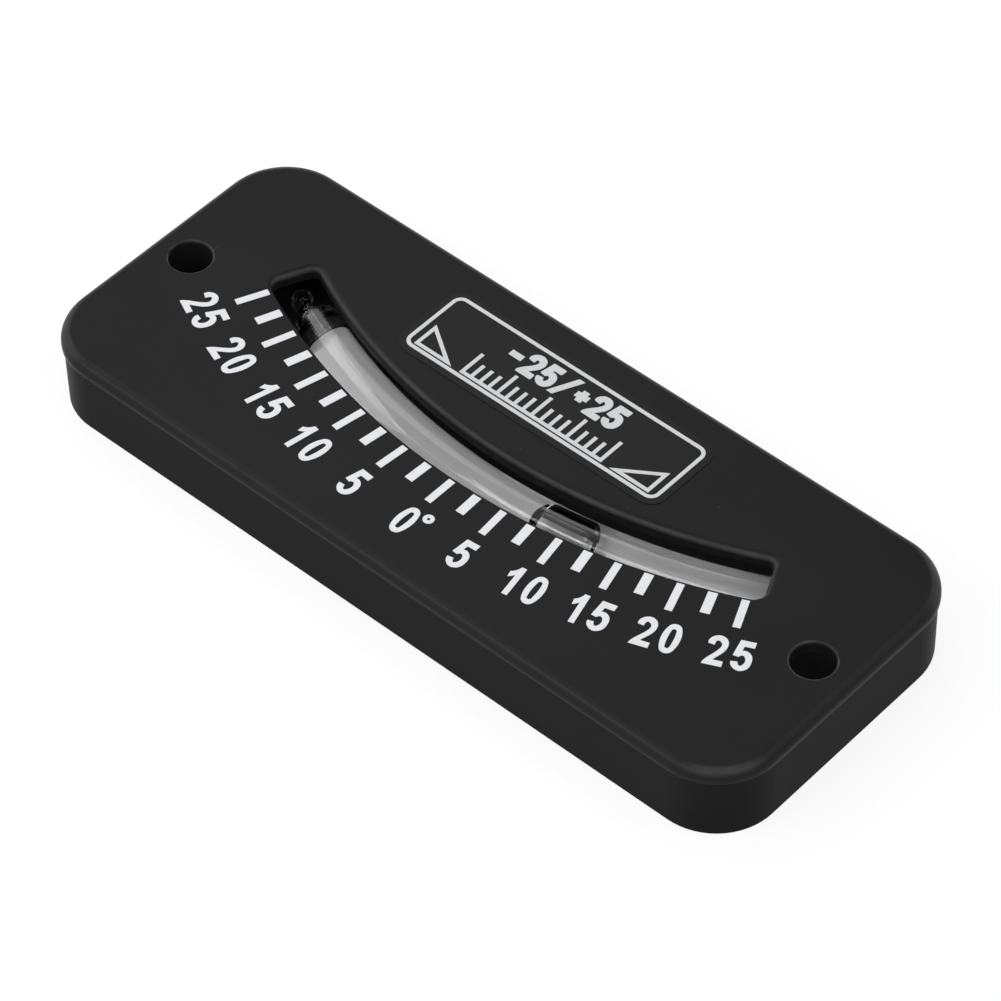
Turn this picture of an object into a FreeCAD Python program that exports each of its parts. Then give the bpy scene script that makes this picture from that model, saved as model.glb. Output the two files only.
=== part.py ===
"""Surface-mounted ball inclinometer: a two-piece housing, a bent sealed vial and a printed scale.

Frame: the origin is the middle of the flat back, +X runs along the housing, +Y runs up the face as its
figures are read, and +Z comes out of the face. Lengths are in millimetres and angles in degrees.

The vial, the slot, the ticks and the figures all lie on arcs about one axis, the scale axis. It is
parallel to Z and crosses the Y axis above the label. A place on an arc is given by its scale angle: 0 at
the bottom of the arc, positive towards +X.

The sizes are those of the vial, the scale and the label, and the margins around them. The housing's
length, width and depth follow from these.
"""

import FreeCAD, Part
import math
import os

import Sketcher

SIZES = [
    # housing
    ("cover_thickness", 1.9),
    ("cover_corner", 9.5),
    ("cover_edge_round", 1.5),
    ("scale_margin", 5.47),
    ("label_gap", 5.4),
    ("label_margin", 4.7),
    ("case_inset", 0.3),
    ("case_wall", 2.0),
    ("case_floor", 1.8),
    ("case_edge_round", 0.3),
    ("rib_wall", 1.2),
    ("rib_depth", 1.6),
    ("rib_clearance", 0.15),
    ("ejector_radius", 2.5),
    ("ejector_depth", 0.15),
    ("ejector_inset_x", 22.0),
    ("ejector_inset_y", 9.0),
    # mounting holes
    ("hole_radius", 3.0),
    ("hole_edge_round", 0.25),
    ("hole_to_edge", 3.15),
    ("boss_wall", 2.0),
    ("boss_to_vial", 1.7),
    # viewing slot
    ("slot_width", 7.05),
    ("slot_offset", 1.325),
    ("slot_past_scale", 1.15),
    ("slot_inner_corner", 1.0),
    ("slot_outer_corner", 1.8),
    ("slot_upper_round", 1.0),
    ("slot_edge_round", 0.5),
    # vial
    ("vial_radius", 92.3),
    ("vial_gap", 0.71),
    ("tube_radius", 3.25),
    ("bore_radius", 2.3),
    ("vial_left_inset", 2.25),
    ("vial_right_reach", 2.25),
    ("shoulder_round", 1.2),
    ("shoulder_wall", 1.2),
    ("nib_radius", 1.55),
    ("nib_length", 5.5),
    # what the vial holds
    ("fluid_gap", 0.02),
    ("cavity_gap", 0.03),
    ("ball_clearance", 0.2),
    ("bubble_clearance", 0.18),
    ("bubble_length", 9.9),
    ("bubble_angle", 8.5),
    # what holds the vial
    ("backing_gap", 0.05),
    ("backing_thickness", 0.3),
    ("backing_half_angle", 55.0),
    ("backing_left_inset", 2.6),
    ("adhesive_thickness", 0.3),
    ("adhesive_half_angle", 50.0),
    ("saddle_step", 18.0),
    ("saddle_thickness", 2.0),
    ("saddle_wall", 1.1),
    ("saddle_drop", 1.2),
    ("seat_floor", 0.44),
    # printed scale
    ("print_thickness", 0.05),
    ("tick_gap", 0.05),
    ("long_tick_length", 4.7),
    ("long_tick_width", 1.05),
    ("short_tick_length", 3.6),
    ("short_tick_width", 1.3),
    ("figure_gap", 1.78),
    ("figure_height", 4.95),
    ("figure_width", 2.5),
    ("figure_pitch", 3.45),
    ("figure_step_extra", 0.03),
    ("degree_radius", 0.78),
    ("degree_line", 0.56),
    # label
    ("label_thickness", 0.1),
    ("film_margin", 1.0),
    ("frame_line", 0.55),
    ("frame_corner", 1.5),
    ("range_above", 0.75),
    ("range_height", 4.3),
    ("range_width", 2.6),
    ("range_pitch", 2.85),
    ("range_line", 1.0),
    ("range_bold", 0.14),
    ("row_gap", 0.6),
    ("ruler_height", 4.4),
    ("ruler_below", 0.25),
    ("ruler_side", 0.9),
    ("ruler_line", 0.55),
    ("ruler_pitch", 1.5),
    ("wedge_length", 6.6),
    ("wedge_gap", 1.4),
]
MARKS_EACH_SIDE = 5
MARK_DEGREES = 5
SCALE_END = MARKS_EACH_SIDE * MARK_DEGREES
RULER_BARS = 17
RULER_LONG_EVERY = 4
RULER_SHORT_SHARE = 2 / 3
SIGN_SHARE = 0.8
BOLD_POINTS = 120
TOUCH = 1e-4

# A figure is drawn on a grid that is GRID_WIDTH by GRID_HEIGHT steps, with its middle at (0, 0). Each
# outline is a list of stretches: two points are a straight edge, and more are one smooth curve.
GRID_WIDTH = 20.0
GRID_HEIGHT = 40.0
ONE = [
    [(6.8, 20), (0.8, 20)],
    [(0.8, 20), (-2, 14), (-6.8, 9.8)],
    [(-6.8, 9.8), (-6, 2.4)],
    [(-6, 2.4), (-3, 4.4), (0.4, 8)],
    [(0.4, 8), (0.4, -20)],
    [(0.4, -20), (6.8, -20)],
    [(6.8, -20), (6.8, 20)],
]
TWO = [
    [(-3.2, 6.6), (-10, 7.6)],
    [(-10, 7.6), (-7.6, 16.2), (0, 20), (7.8, 16.4), (10.3, 9), (8.6, 1), (3.4, -7.2), (-0.6, -12.8)],
    [(-0.6, -12.8), (10.3, -12.8)],
    [(10.3, -12.8), (10.3, -20)],
    [(10.3, -20), (-10.4, -20)],
    [(-10.4, -20), (-7.6, -12.8), (-1.6, -4.4), (2.6, 2.6), (3.9, 9), (0.2, 13), (-3.2, 6.6)],
]
FIVE = [
    [(-7, 20), (9.2, 20)],
    [(9.2, 20), (8.8, 12.4)],
    [(8.8, 12.4), (-1.4, 12.4)],
    [(-1.4, 12.4), (-2.4, 6.2)],
    [(-2.4, 6.2), (1.6, 6.9), (7.6, 3.4), (10.3, -6), (7.6, -16), (0.4, -20), (-7, -17), (-10.4, -9.6)],
    [(-10.4, -9.6), (-3.6, -8.6)],
    [(-3.6, -8.6), (0.2, -13.4), (3.7, -6.6), (0.2, 0.3), (-4.2, -2.4)],
    [(-4.2, -2.4), (-10.2, -1.4)],
    [(-10.2, -1.4), (-7, 20)],
]
ZERO_OUTER = (10.0, 20.0)
ZERO_INNER = (3.4, 13.2)
OVAL_END_SHARE = 0.76

doc = FreeCAD.newDocument("inclinometer")


# ---------------------------------------------------------------- sheet and expressions
def make_sheet():
    """One row per driving size: its name in column A and its value in column B."""
    made = doc.addObject("Spreadsheet::Sheet", "sheet")
    for row, (alias, number) in enumerate(SIZES, 1):
        made.set(f"A{row}", alias)
        made.set(f"B{row}", str(number))
        made.setAlias(f"B{row}", alias)
    doc.recompute()
    return made


sheet = make_sheet()


def size(alias):
    """The number that a named cell holds, for shapes made with Part's functions."""
    return float(getattr(sheet, alias))


def bind(thing, **expressions):
    """Ties properties to expressions. A double underscore stands for the dot in a property's path."""
    for path, text in expressions.items():
        thing.setExpression(path.replace("__", "."), text)


def arc_angle(length):
    """Expression for the angle that a length takes up along the vial's arc."""
    return f"(({length}) / sheet.vial_radius * 180 / pi)"


# along the scale's arcs
SLOT_INNER = "(sheet.vial_radius + sheet.slot_offset - sheet.slot_width / 2)"
SLOT_OUTER = "(sheet.vial_radius + sheet.slot_offset + sheet.slot_width / 2)"
SLOT_HALF_ANGLE = f"({SCALE_END} + sheet.slot_past_scale)"
VIAL_LEFT = f"(sheet.vial_left_inset - {SLOT_HALF_ANGLE})"
VIAL_RIGHT = f"({SLOT_HALF_ANGLE} + sheet.vial_right_reach)"
BORE_LEFT = f"({VIAL_LEFT} + {arc_angle('sheet.shoulder_wall + sheet.bore_radius')})"
BALL_RADIUS = "(sheet.bore_radius - sheet.ball_clearance)"
BUBBLE_RADIUS = "(sheet.bore_radius - sheet.bubble_clearance)"
BUBBLE_HALF = arc_angle(f"sheet.bubble_length / 2 - {BUBBLE_RADIUS}")
BUBBLE_LEFT = f"(sheet.bubble_angle - {BUBBLE_HALF})"
BUBBLE_RIGHT = f"(sheet.bubble_angle + {BUBBLE_HALF})"
TICK_START = f"({SLOT_OUTER} + sheet.slot_edge_round + sheet.tick_gap)"
FIGURE_HEAD = f"({TICK_START} + sheet.long_tick_length + sheet.figure_gap)"
FIGURE_FOOT = f"({FIGURE_HEAD} + sheet.figure_height)"

# up through the housing
BACKING_INNER = "(sheet.tube_radius + sheet.backing_gap)"
BACKING_OUTER = f"({BACKING_INNER} + sheet.backing_thickness)"
SEAT_RADIUS = f"({BACKING_OUTER} + sheet.adhesive_thickness)"
SADDLE_HALF = f"({SEAT_RADIUS} + sheet.saddle_wall)"
VIAL_HEIGHT = f"(sheet.case_floor + sheet.seat_floor + {SEAT_RADIUS})"
CASE_DEPTH = f"({VIAL_HEIGHT} + sheet.tube_radius + sheet.vial_gap)"
FACE = f"({CASE_DEPTH} + sheet.cover_thickness)"
LABEL_FACE = f"({FACE} + sheet.label_thickness)"

# along the housing
BOSS_RADIUS = "(sheet.hole_radius + sheet.boss_wall)"
VIAL_END_X = f"(sheet.vial_radius * sin({VIAL_RIGHT}) + sheet.tube_radius)"
HOLE_X = f"({VIAL_END_X} + sheet.boss_to_vial + {BOSS_RADIUS})"
LENGTH = f"(2 * ({HOLE_X} + sheet.hole_radius + sheet.hole_to_edge))"

# across the label and the housing
RULER_HALF = f"({(RULER_BARS - 1) / 2} * sheet.ruler_pitch + sheet.ruler_line / 2)"
FRAME_LENGTH = (
    f"(2 * ({RULER_HALF} + sheet.wedge_gap + sheet.wedge_length + sheet.ruler_side + sheet.frame_line))"
)
RULER_STACK = "(sheet.frame_line + sheet.ruler_below + sheet.ruler_height)"
RANGE_STACK = "(sheet.range_height + sheet.range_above + sheet.frame_line)"
FRAME_WIDTH = f"({RULER_STACK} + sheet.row_gap + {RANGE_STACK})"
FILM_LENGTH = f"({FRAME_LENGTH} + 2 * sheet.film_margin)"
FILM_WIDTH = f"({FRAME_WIDTH} + 2 * sheet.film_margin)"
SCALE_STACK = f"({FIGURE_FOOT} - {SLOT_INNER} + sheet.scale_margin)"
WIDTH = f"({SCALE_STACK} + sheet.label_gap + {FILM_WIDTH} + sheet.label_margin)"
ARC_HEIGHT = f"({FIGURE_FOOT} + sheet.scale_margin - {WIDTH} / 2)"
LABEL_Y = f"(({WIDTH} - {FILM_WIDTH}) / 2 - sheet.label_margin)"


def scale_frame(height, angle):
    """Placement expression on the scale axis, with local +X pointing outwards at a scale angle."""
    return f"placement(vector(0; {ARC_HEIGHT}; {height}); rotation(vector(0; 0; 1); {angle} - 90))"


def moved(x, y, turn="0"):
    """Placement expression for a step within a frame, with a turn about Z."""
    return f"placement(vector({x}; {y}; 0); rotation(vector(0; 0; 1); {turn}))"


# ---------------------------------------------------------------- PartDesign helpers
def new_body(label):
    body = doc.addObject("PartDesign::Body", label)
    body.Label = label
    return body


def new_sketch(body, name, role, **offsets):
    """A sketch on one of the body's own origin planes, with its offset tied to expressions."""
    sketch = body.newObject("Sketcher::SketchObject", name)
    plane = [p for p in body.Origin.OriginFeatures if p.Role == role][0]
    sketch.AttachmentSupport = [(plane, "")]
    sketch.MapMode = "FlatFace"
    for axis, text in offsets.items():
        sketch.setExpression(f"AttachmentOffset.Base.{axis}", text)
    doc.recompute()
    return sketch


def constrain(sketch, kind, *where, value=None, text=None):
    """Adds one constraint, and ties it to an expression if text is given."""
    numbers = [] if value is None else [value]
    index = sketch.addConstraint(Sketcher.Constraint(kind, *where, *numbers))
    if text:
        sketch.setExpression(f"Constraints[{index}]", text)
    return index


def evaluate(text):
    """The present value of an expression on the sheet."""
    return float(sheet.evalExpression(text.replace("sheet.", "")))


def rounded_rectangle(sketch, length, width, corner):
    """Four sides and four tangent corner arcs about the sketch's origin."""
    half_x, half_y, round_ = evaluate(length) / 2, evaluate(width) / 2, evaluate(corner)
    ids = []
    for k in range(4):
        turn = FreeCAD.Rotation(FreeCAD.Vector(0, 0, 1), 90 * k)
        reach_x, reach_y = (half_y, half_x) if k % 2 else (half_x, half_y)
        start = turn.multVec(FreeCAD.Vector(round_ - reach_x, -reach_y, 0))
        end = turn.multVec(FreeCAD.Vector(reach_x - round_, -reach_y, 0))
        centre = turn.multVec(FreeCAD.Vector(reach_x - round_, round_ - reach_y, 0))
        circle = Part.Circle(centre, FreeCAD.Vector(0, 0, 1), round_)
        first = math.radians(90 * k - 90)
        ids.append(sketch.addGeometry(Part.LineSegment(start, end), False))
        ids.append(sketch.addGeometry(Part.ArcOfCircle(circle, first, first + math.pi / 2), False))
    for k in range(4):
        line, arc, after = ids[2 * k], ids[2 * k + 1], ids[(2 * k + 2) % 8]
        constrain(sketch, "Tangent", line, 2, arc, 1)
        constrain(sketch, "Tangent", arc, 2, after, 1)
        constrain(sketch, "Vertical" if k % 2 else "Horizontal", line)
    for k in range(3):
        constrain(sketch, "Equal", ids[1], ids[2 * k + 3])
    constrain(sketch, "Radius", ids[1], value=round_, text=corner)
    constrain(sketch, "Symmetric", ids[1], 3, ids[5], 3, -1, 1)
    constrain(sketch, "DistanceX", ids[6], 1, ids[2], 1, value=2 * half_x, text=length)
    constrain(sketch, "DistanceY", ids[0], 1, ids[4], 1, value=2 * half_y, text=width)


def inset_rectangle(sketch, inset):
    """The cover's outline, drawn in by an inset all round."""
    across = [f"{side} - 2 * {inset}" for side in (LENGTH, WIDTH)]
    rounded_rectangle(sketch, *across, f"sheet.cover_corner - {inset}")


def circles(sketch, reach, radius, rise=None):
    """Equal circles at plus and minus reach along X: two on the axis, or four at plus and minus rise."""
    first = None
    for up in (0,) if rise is None else (-1, 1):
        for side in (-1, 1):
            x = f"{side} * {reach}"
            y = f"{up} * {rise}" if up else "0"
            centre = FreeCAD.Vector(evaluate(x), evaluate(y), 0)
            round_ = Part.Circle(centre, FreeCAD.Vector(0, 0, 1), evaluate(radius))
            circle = sketch.addGeometry(round_, False)
            if first is None:
                first = circle
                constrain(sketch, "Radius", circle, value=evaluate(radius), text=radius)
            else:
                constrain(sketch, "Equal", first, circle)
            constrain(sketch, "DistanceX", -1, 1, circle, 3, value=centre.x, text=x)
            if up:
                constrain(sketch, "DistanceY", -1, 1, circle, 3, value=centre.y, text=y)
            else:
                constrain(sketch, "PointOnObject", circle, 3, -1)


def pad(body, sketch, length, downwards=False):
    made = body.newObject("PartDesign::Pad", sketch.Name + "_pad")
    made.Profile = sketch
    made.Reversed = downwards
    bind(made, Length=length)
    doc.recompute()
    return made


def pocket(body, sketch, length=None):
    """Cuts down from the sketch, through everything if no length is given, and tests that it cut."""
    before = body.Shape.Volume
    made = body.newObject("PartDesign::Pocket", sketch.Name + "_pocket")
    made.Profile = sketch
    if length is None:
        made.Type = "ThroughAll"
    else:
        bind(made, Length=length)
    doc.recompute()
    if body.Shape.Volume >= before:
        raise RuntimeError(f"{made.Name} cut nothing")
    return made


def round_edges(body, name, radius, wanted):
    """Fillets the edges of the body's present shape for which wanted(edge) holds."""
    base = body.Tip
    edges = [f"Edge{k}" for k, edge in enumerate(base.Shape.Edges, 1) if wanted(edge)]
    if not edges:
        raise RuntimeError(f"{name} found no edge")
    made = body.newObject("PartDesign::Fillet", name)
    made.Base = (base, edges)
    bind(made, Radius=radius)
    doc.recompute()
    return made


def lies_at(edge, height):
    """Whether an edge lies in the level plane at a height."""
    box = edge.BoundBox
    return abs(box.ZMin - height) < TOUCH and abs(box.ZMax - height) < TOUCH


def middle(edge):
    return edge.valueAt((edge.FirstParameter + edge.LastParameter) / 2)


def scale_radius(point):
    """Distance of a point from the scale axis."""
    return math.hypot(point.x, point.y - evaluate(ARC_HEIGHT))


def is_circle(edge, radius):
    """Whether an edge lies on a circle of a radius."""
    return (
        not edge.Degenerated
        and isinstance(edge.Curve, Part.Circle)
        and abs(edge.Curve.Radius - radius) < TOUCH
    )


def is_outer(edge):
    """Whether an edge runs along the housing's outline, rather than round a hole or the slot."""
    point = middle(edge)
    clear = size("case_inset") + size("case_wall")
    corners = (size("cover_corner"), size("cover_corner") - size("case_inset"))
    return (
        abs(point.x) > evaluate(LENGTH) / 2 - clear
        or abs(point.y) > evaluate(WIDTH) / 2 - clear
        or any(is_circle(edge, corner) for corner in corners)
    )


def is_hole_rim(edge):
    """Whether an edge is the rim of a mounting hole."""
    return is_circle(edge, size("hole_radius"))


# ---------------------------------------------------------------- housing
def slot_outline(sketch):
    """A ring sector about the sketch's origin: two arcs and two ends that point to the scale axis."""
    inner, outer, half = evaluate(SLOT_INNER), evaluate(SLOT_OUTER), evaluate(SLOT_HALF_ANGLE)
    angles = (-90 - half, -90 + half)
    points = [
        [FreeCAD.Vector(r * math.cos(math.radians(a)), r * math.sin(math.radians(a)), 0) for a in angles]
        for r in (inner, outer)
    ]
    up = FreeCAD.Vector(0, 0, 1)
    spans = [math.radians(a) for a in angles]
    arcs = [
        sketch.addGeometry(Part.ArcOfCircle(Part.Circle(FreeCAD.Vector(), up, r), *spans), False)
        for r in (inner, outer)
    ]
    ends = [sketch.addGeometry(Part.LineSegment(points[0][k], points[1][k]), False) for k in (0, 1)]
    for arc, radius in zip(arcs, (SLOT_INNER, SLOT_OUTER)):
        constrain(sketch, "Coincident", arc, 3, -1, 1)
        constrain(sketch, "Radius", arc, value=evaluate(radius), text=radius)
    for k, (end, side) in enumerate(zip(ends, (-1, 1))):
        constrain(sketch, "Coincident", arcs[0], k + 1, end, 1)
        constrain(sketch, "Coincident", arcs[1], k + 1, end, 2)
        constrain(sketch, "PointOnObject", -1, 1, end)
        text = f"(-90 + {side} * {SLOT_HALF_ANGLE}) * 1deg"
        constrain(sketch, "Angle", end, value=math.radians(angles[k]), text=text)


def front_cover():
    body = new_body("cover_blank")
    outline = new_sketch(body, "cover_outline", "XY_Plane", z=CASE_DEPTH)
    rounded_rectangle(outline, LENGTH, WIDTH, "sheet.cover_corner")
    pad(body, outline, "sheet.cover_thickness")

    rib = new_sketch(body, "rib_outline", "XY_Plane", z=CASE_DEPTH)
    inset = "(sheet.case_inset + sheet.case_wall + sheet.rib_clearance)"
    for step in (inset, f"({inset} + sheet.rib_wall)"):
        inset_rectangle(rib, step)
    pad(body, rib, "sheet.rib_depth", downwards=True)

    relief = new_sketch(body, "boss_relief", "XY_Plane", z=CASE_DEPTH)
    circles(relief, HOLE_X, f"{BOSS_RADIUS} + sheet.rib_clearance")
    pocket(body, relief, "sheet.rib_depth")

    holes = new_sketch(body, "cover_holes", "XY_Plane", z=FACE)
    circles(holes, HOLE_X, "sheet.hole_radius")
    pocket(body, holes)

    slot = new_sketch(body, "slot_outline", "XY_Plane", y=ARC_HEIGHT, z=FACE)
    slot_outline(slot)
    pocket(body, slot)

    inner, outer = evaluate(SLOT_INNER), evaluate(SLOT_OUTER)

    def is_slot_corner(radius):
        return lambda edge: (
            edge.BoundBox.ZLength > size("cover_thickness") / 2
            and abs(scale_radius(middle(edge)) - radius) < TOUCH
        )

    round_edges(body, "slot_inner_corners", "sheet.slot_inner_corner", is_slot_corner(inner))
    round_edges(body, "slot_outer_corners", "sheet.slot_outer_corner", is_slot_corner(outer))

    face = evaluate(FACE)
    rim = "sheet.hole_edge_round"
    round_edges(body, "cover_hole_rims", rim, lambda e: lies_at(e, face) and is_hole_rim(e))
    edge_round = "sheet.cover_edge_round"
    round_edges(body, "cover_edge", edge_round, lambda e: lies_at(e, face) and is_outer(e))
    return slot_rim(body)


def slot_rim(blank):
    """Rounds the slot's rim on the face: wide along its upper side and its ends, narrow beside the ticks.
    In the two lower corners the round goes from one to the other."""
    inner, outer, face = evaluate(SLOT_INNER), evaluate(SLOT_OUTER), evaluate(FACE)
    wide, narrow = size("slot_upper_round"), size("slot_edge_round")
    rim = []
    for k, edge in enumerate(blank.Shape.Edges, 1):
        ends = [scale_radius(vertex.Point) for vertex in edge.Vertexes]
        if lies_at(edge, face) and all(inner - TOUCH < end < outer + TOUCH for end in ends):
            rim.append((k, *(narrow if end > outer - TOUCH else wide for end in ends)))
    if not rim:
        raise RuntimeError("slot_rim found no edge")
    made = doc.addObject("Part::Fillet", "front_cover")
    made.Base = blank
    made.Edges = rim
    doc.recompute()
    return made


def saddle_profile(sketch):
    """A block from the floor to under the vial's axis, with a round seat cut into its top."""
    radius, seat, half = size("vial_radius"), evaluate(SEAT_RADIUS), evaluate(SADDLE_HALF)
    floor = size("case_floor") - evaluate(VIAL_HEIGHT)
    drop = -size("saddle_drop")
    reach = math.sqrt(seat**2 - drop**2)
    corners = [
        (-radius - reach, drop),
        (-radius - half, drop),
        (-radius - half, floor),
        (-radius + half, floor),
        (-radius + half, drop),
        (-radius + reach, drop),
    ]
    points = [FreeCAD.Vector(x, y, 0) for x, y in corners]
    lines = [sketch.addGeometry(Part.LineSegment(a, b), False) for a, b in zip(points, points[1:])]
    circle = Part.Circle(FreeCAD.Vector(-radius, 0, 0), FreeCAD.Vector(0, 0, 1), seat)
    first = math.atan2(drop, -reach)
    arc = sketch.addGeometry(Part.ArcOfCircle(circle, first, math.atan2(drop, reach)), False)
    for before, after in zip(lines, lines[1:]):
        constrain(sketch, "Coincident", before, 2, after, 1)
    constrain(sketch, "Coincident", arc, 1, lines[0], 1)
    constrain(sketch, "Coincident", arc, 2, lines[-1], 2)
    for line, kind in zip(lines, ("Horizontal", "Vertical", "Horizontal", "Vertical", "Horizontal")):
        constrain(sketch, kind, line)
    constrain(sketch, "PointOnObject", arc, 3, -1)
    constrain(sketch, "DistanceX", arc, 3, -1, 1, value=radius, text="sheet.vial_radius")
    constrain(sketch, "Radius", arc, value=seat, text=SEAT_RADIUS)
    constrain(sketch, "DistanceY", lines[0], 1, -1, 1, value=-drop, text="sheet.saddle_drop")
    constrain(sketch, "PointOnObject", lines[-1], 2, lines[0])
    depth = f"{VIAL_HEIGHT} - sheet.case_floor"
    constrain(sketch, "DistanceY", lines[2], 1, -1, 1, value=-floor, text=depth)
    constrain(sketch, "DistanceX", lines[2], 1, arc, 3, value=half, text=SADDLE_HALF)
    constrain(sketch, "DistanceX", arc, 3, lines[2], 2, value=half, text=SADDLE_HALF)


def rear_case():
    body = new_body("rear_case")
    outline = new_sketch(body, "case_outline", "XY_Plane")
    inset_rectangle(outline, "sheet.case_inset")
    pad(body, outline, CASE_DEPTH)

    hollow = new_sketch(body, "case_hollow", "XY_Plane", z=CASE_DEPTH)
    inset_rectangle(hollow, "(sheet.case_inset + sheet.case_wall)")
    pocket(body, hollow, f"{CASE_DEPTH} - sheet.case_floor")

    bosses = new_sketch(body, "bosses", "XY_Plane", z="sheet.case_floor")
    circles(bosses, HOLE_X, BOSS_RADIUS)
    pad(body, bosses, f"{CASE_DEPTH} - sheet.case_floor")

    for number, side in enumerate((-1, 0, 1), 1):
        place = {"x": ARC_HEIGHT, "y": VIAL_HEIGHT}
        profile = new_sketch(body, f"saddle_{number}", "YZ_Plane", **place)
        profile.AttachmentOffset = FreeCAD.Placement(
            profile.AttachmentOffset.Base, FreeCAD.Rotation(FreeCAD.Vector(0, 1, 0), side)
        )
        bind(profile, AttachmentOffset__Rotation__Angle=f"{side} * sheet.saddle_step")
        doc.recompute()
        saddle_profile(profile)
        turned = body.newObject("PartDesign::Revolution", f"saddle_{number}_block")
        turned.Profile = profile
        turned.ReferenceAxis = (profile, ["V_Axis"])
        turned.Midplane = True
        bind(turned, Angle=arc_angle("sheet.saddle_thickness"))
        doc.recompute()

    holes = new_sketch(body, "case_holes", "XY_Plane", z=CASE_DEPTH)
    circles(holes, HOLE_X, "sheet.hole_radius")
    pocket(body, holes)

    marks = new_sketch(body, "ejector_marks", "XY_Plane", z="sheet.ejector_depth")
    reach = [f"({LENGTH} / 2 - sheet.ejector_inset_x)", f"({WIDTH} / 2 - sheet.ejector_inset_y)"]
    circles(marks, reach[0], "sheet.ejector_radius", reach[1])
    pocket(body, marks)
    rim = "sheet.hole_edge_round"
    round_edges(body, "case_hole_rims", rim, lambda e: lies_at(e, 0) and is_hole_rim(e))
    edge_round = "sheet.case_edge_round"
    round_edges(body, "case_edge", edge_round, lambda e: lies_at(e, 0) and is_outer(e))
    return body


# ---------------------------------------------------------------- vial
def arc_bar(name, radius, start, end, half_angle=None):
    """A round bar bent along the vial's arc between two scale angles.

    half_angle leaves only the part of its section up to that angle to both sides of straight down.
    Round the bar's axis, 0 is away from the scale's axis and 90 is straight down.
    """
    bar = doc.addObject("Part::Torus", name)
    bind(bar, Radius1="sheet.vial_radius", Radius2=radius, Angle3=f"({end}) - ({start})")
    if half_angle:
        bind(bar, Angle1=f"90 - {half_angle}", Angle2=f"90 + {half_angle}")
    bind(bar, Placement=scale_frame(VIAL_HEIGHT, start))
    return bar


def half_ball(name, radius, angle, side):
    """A half ball on the end of an arc_bar: side is 1 past its end and -1 before its start."""
    half = doc.addObject("Part::Sphere", name)
    half.Angle3 = 180
    turn = 0 if side > 0 else 180
    place = scale_frame(VIAL_HEIGHT, angle)
    bind(half, Radius=radius, Placement=f"{place} * {moved('sheet.vial_radius', 0, turn)}")
    return half


def fused(name, shapes):
    whole = doc.addObject("Part::MultiFuse", name)
    whole.Shapes = shapes
    doc.recompute()
    return whole


def cut(name, base, tool):
    whole = doc.addObject("Part::Cut", name)
    whole.Base, whole.Tool = base, tool
    doc.recompute()
    return whole


def arc_capsule(name, radius, start, end):
    """A bar along the vial's arc with half-ball ends. start and end are the balls' middles."""
    bar = arc_bar(f"{name}_bar", radius, start, end)
    first = half_ball(f"{name}_first", radius, start, -1)
    last = half_ball(f"{name}_last", radius, end, 1)
    return fused(name, [bar, first, last])


def vial_tube():
    """The glass: a bent tube with a round right end and, at its left, a shoulder with a sealed nib."""
    bar = arc_bar("tube_bar", "sheet.tube_radius", VIAL_LEFT, VIAL_RIGHT)
    end = half_ball("tube_end", "sheet.tube_radius", VIAL_RIGHT, 1)
    shoulder = f"{scale_frame(VIAL_HEIGHT, VIAL_LEFT)} * {moved('sheet.vial_radius', 0)}"
    straight = "(sheet.nib_length - sheet.nib_radius)"
    nib = doc.addObject("Part::Cylinder", "nib")
    upright = "placement(vector(0; 0; 0); rotation(vector(1; 0; 0); 90))"
    bind(nib, Radius="sheet.nib_radius", Height=straight, Placement=f"{shoulder} * {upright}")
    tip = doc.addObject("Part::Sphere", "nib_tip")
    tip.Angle3 = 180
    bind(tip, Radius="sheet.nib_radius", Placement=f"{shoulder} * {moved(0, '-' + straight, 180)}")
    outside = fused("tube_outside", [bar, end, nib, tip])

    rounded = doc.addObject("Part::Fillet", "tube_rounded")
    rounded.Base = outside
    tube_rim, depth = size("tube_radius"), size("shoulder_round")
    left_end = shoulder_centre()
    rounded.Edges = [
        (k, depth, depth)
        for k, edge in enumerate(outside.Shape.Edges, 1)
        if is_circle(edge, tube_rim) and edge.Curve.Center.distanceToPoint(left_end) < TOUCH
    ]
    doc.recompute()
    bore = arc_capsule("bore", "sheet.bore_radius", BORE_LEFT, VIAL_RIGHT)
    return cut("vial_tube", rounded, bore)


def shoulder_centre():
    """Where the vial's axis meets the flat of its left shoulder."""
    turn = math.radians(evaluate(VIAL_LEFT))
    radius = size("vial_radius")
    side = radius * math.sin(turn)
    return FreeCAD.Vector(side, evaluate(ARC_HEIGHT) - radius * math.cos(turn), evaluate(VIAL_HEIGHT))


def ball(name, radius):
    """A ball at the right end of the bore."""
    made = doc.addObject("Part::Sphere", name)
    place = scale_frame(VIAL_HEIGHT, VIAL_RIGHT)
    bind(made, Radius=radius, Placement=f"{place} * {moved('sheet.vial_radius', 0)}")
    return made


def damping_fluid():
    """What fills the bore, with a hollow round the ball and one round the bubble."""
    filled = arc_capsule("filled_bore", "sheet.bore_radius - sheet.fluid_gap", BORE_LEFT, VIAL_RIGHT)
    hollow_radius = f"{BUBBLE_RADIUS} + sheet.cavity_gap"
    bubble_hollow = arc_capsule("bubble_hollow", hollow_radius, BUBBLE_LEFT, BUBBLE_RIGHT)
    ball_hollow = ball("ball_hollow", f"{BALL_RADIUS} + sheet.cavity_gap")
    hollows = fused("fluid_hollows", [bubble_hollow, ball_hollow])
    return cut("damping_fluid", filled, hollows)


def vial_backing():
    """A white strip, curved in its section, along the underside of the vial."""
    span = (f"({VIAL_LEFT} + {arc_angle('sheet.backing_left_inset')})", VIAL_RIGHT)
    outside = arc_bar("backing_outside", BACKING_OUTER, *span, "sheet.backing_half_angle")
    inside = arc_bar("backing_inside", BACKING_INNER, *span, "sheet.backing_half_angle")
    return cut("vial_backing", outside, inside)


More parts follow.
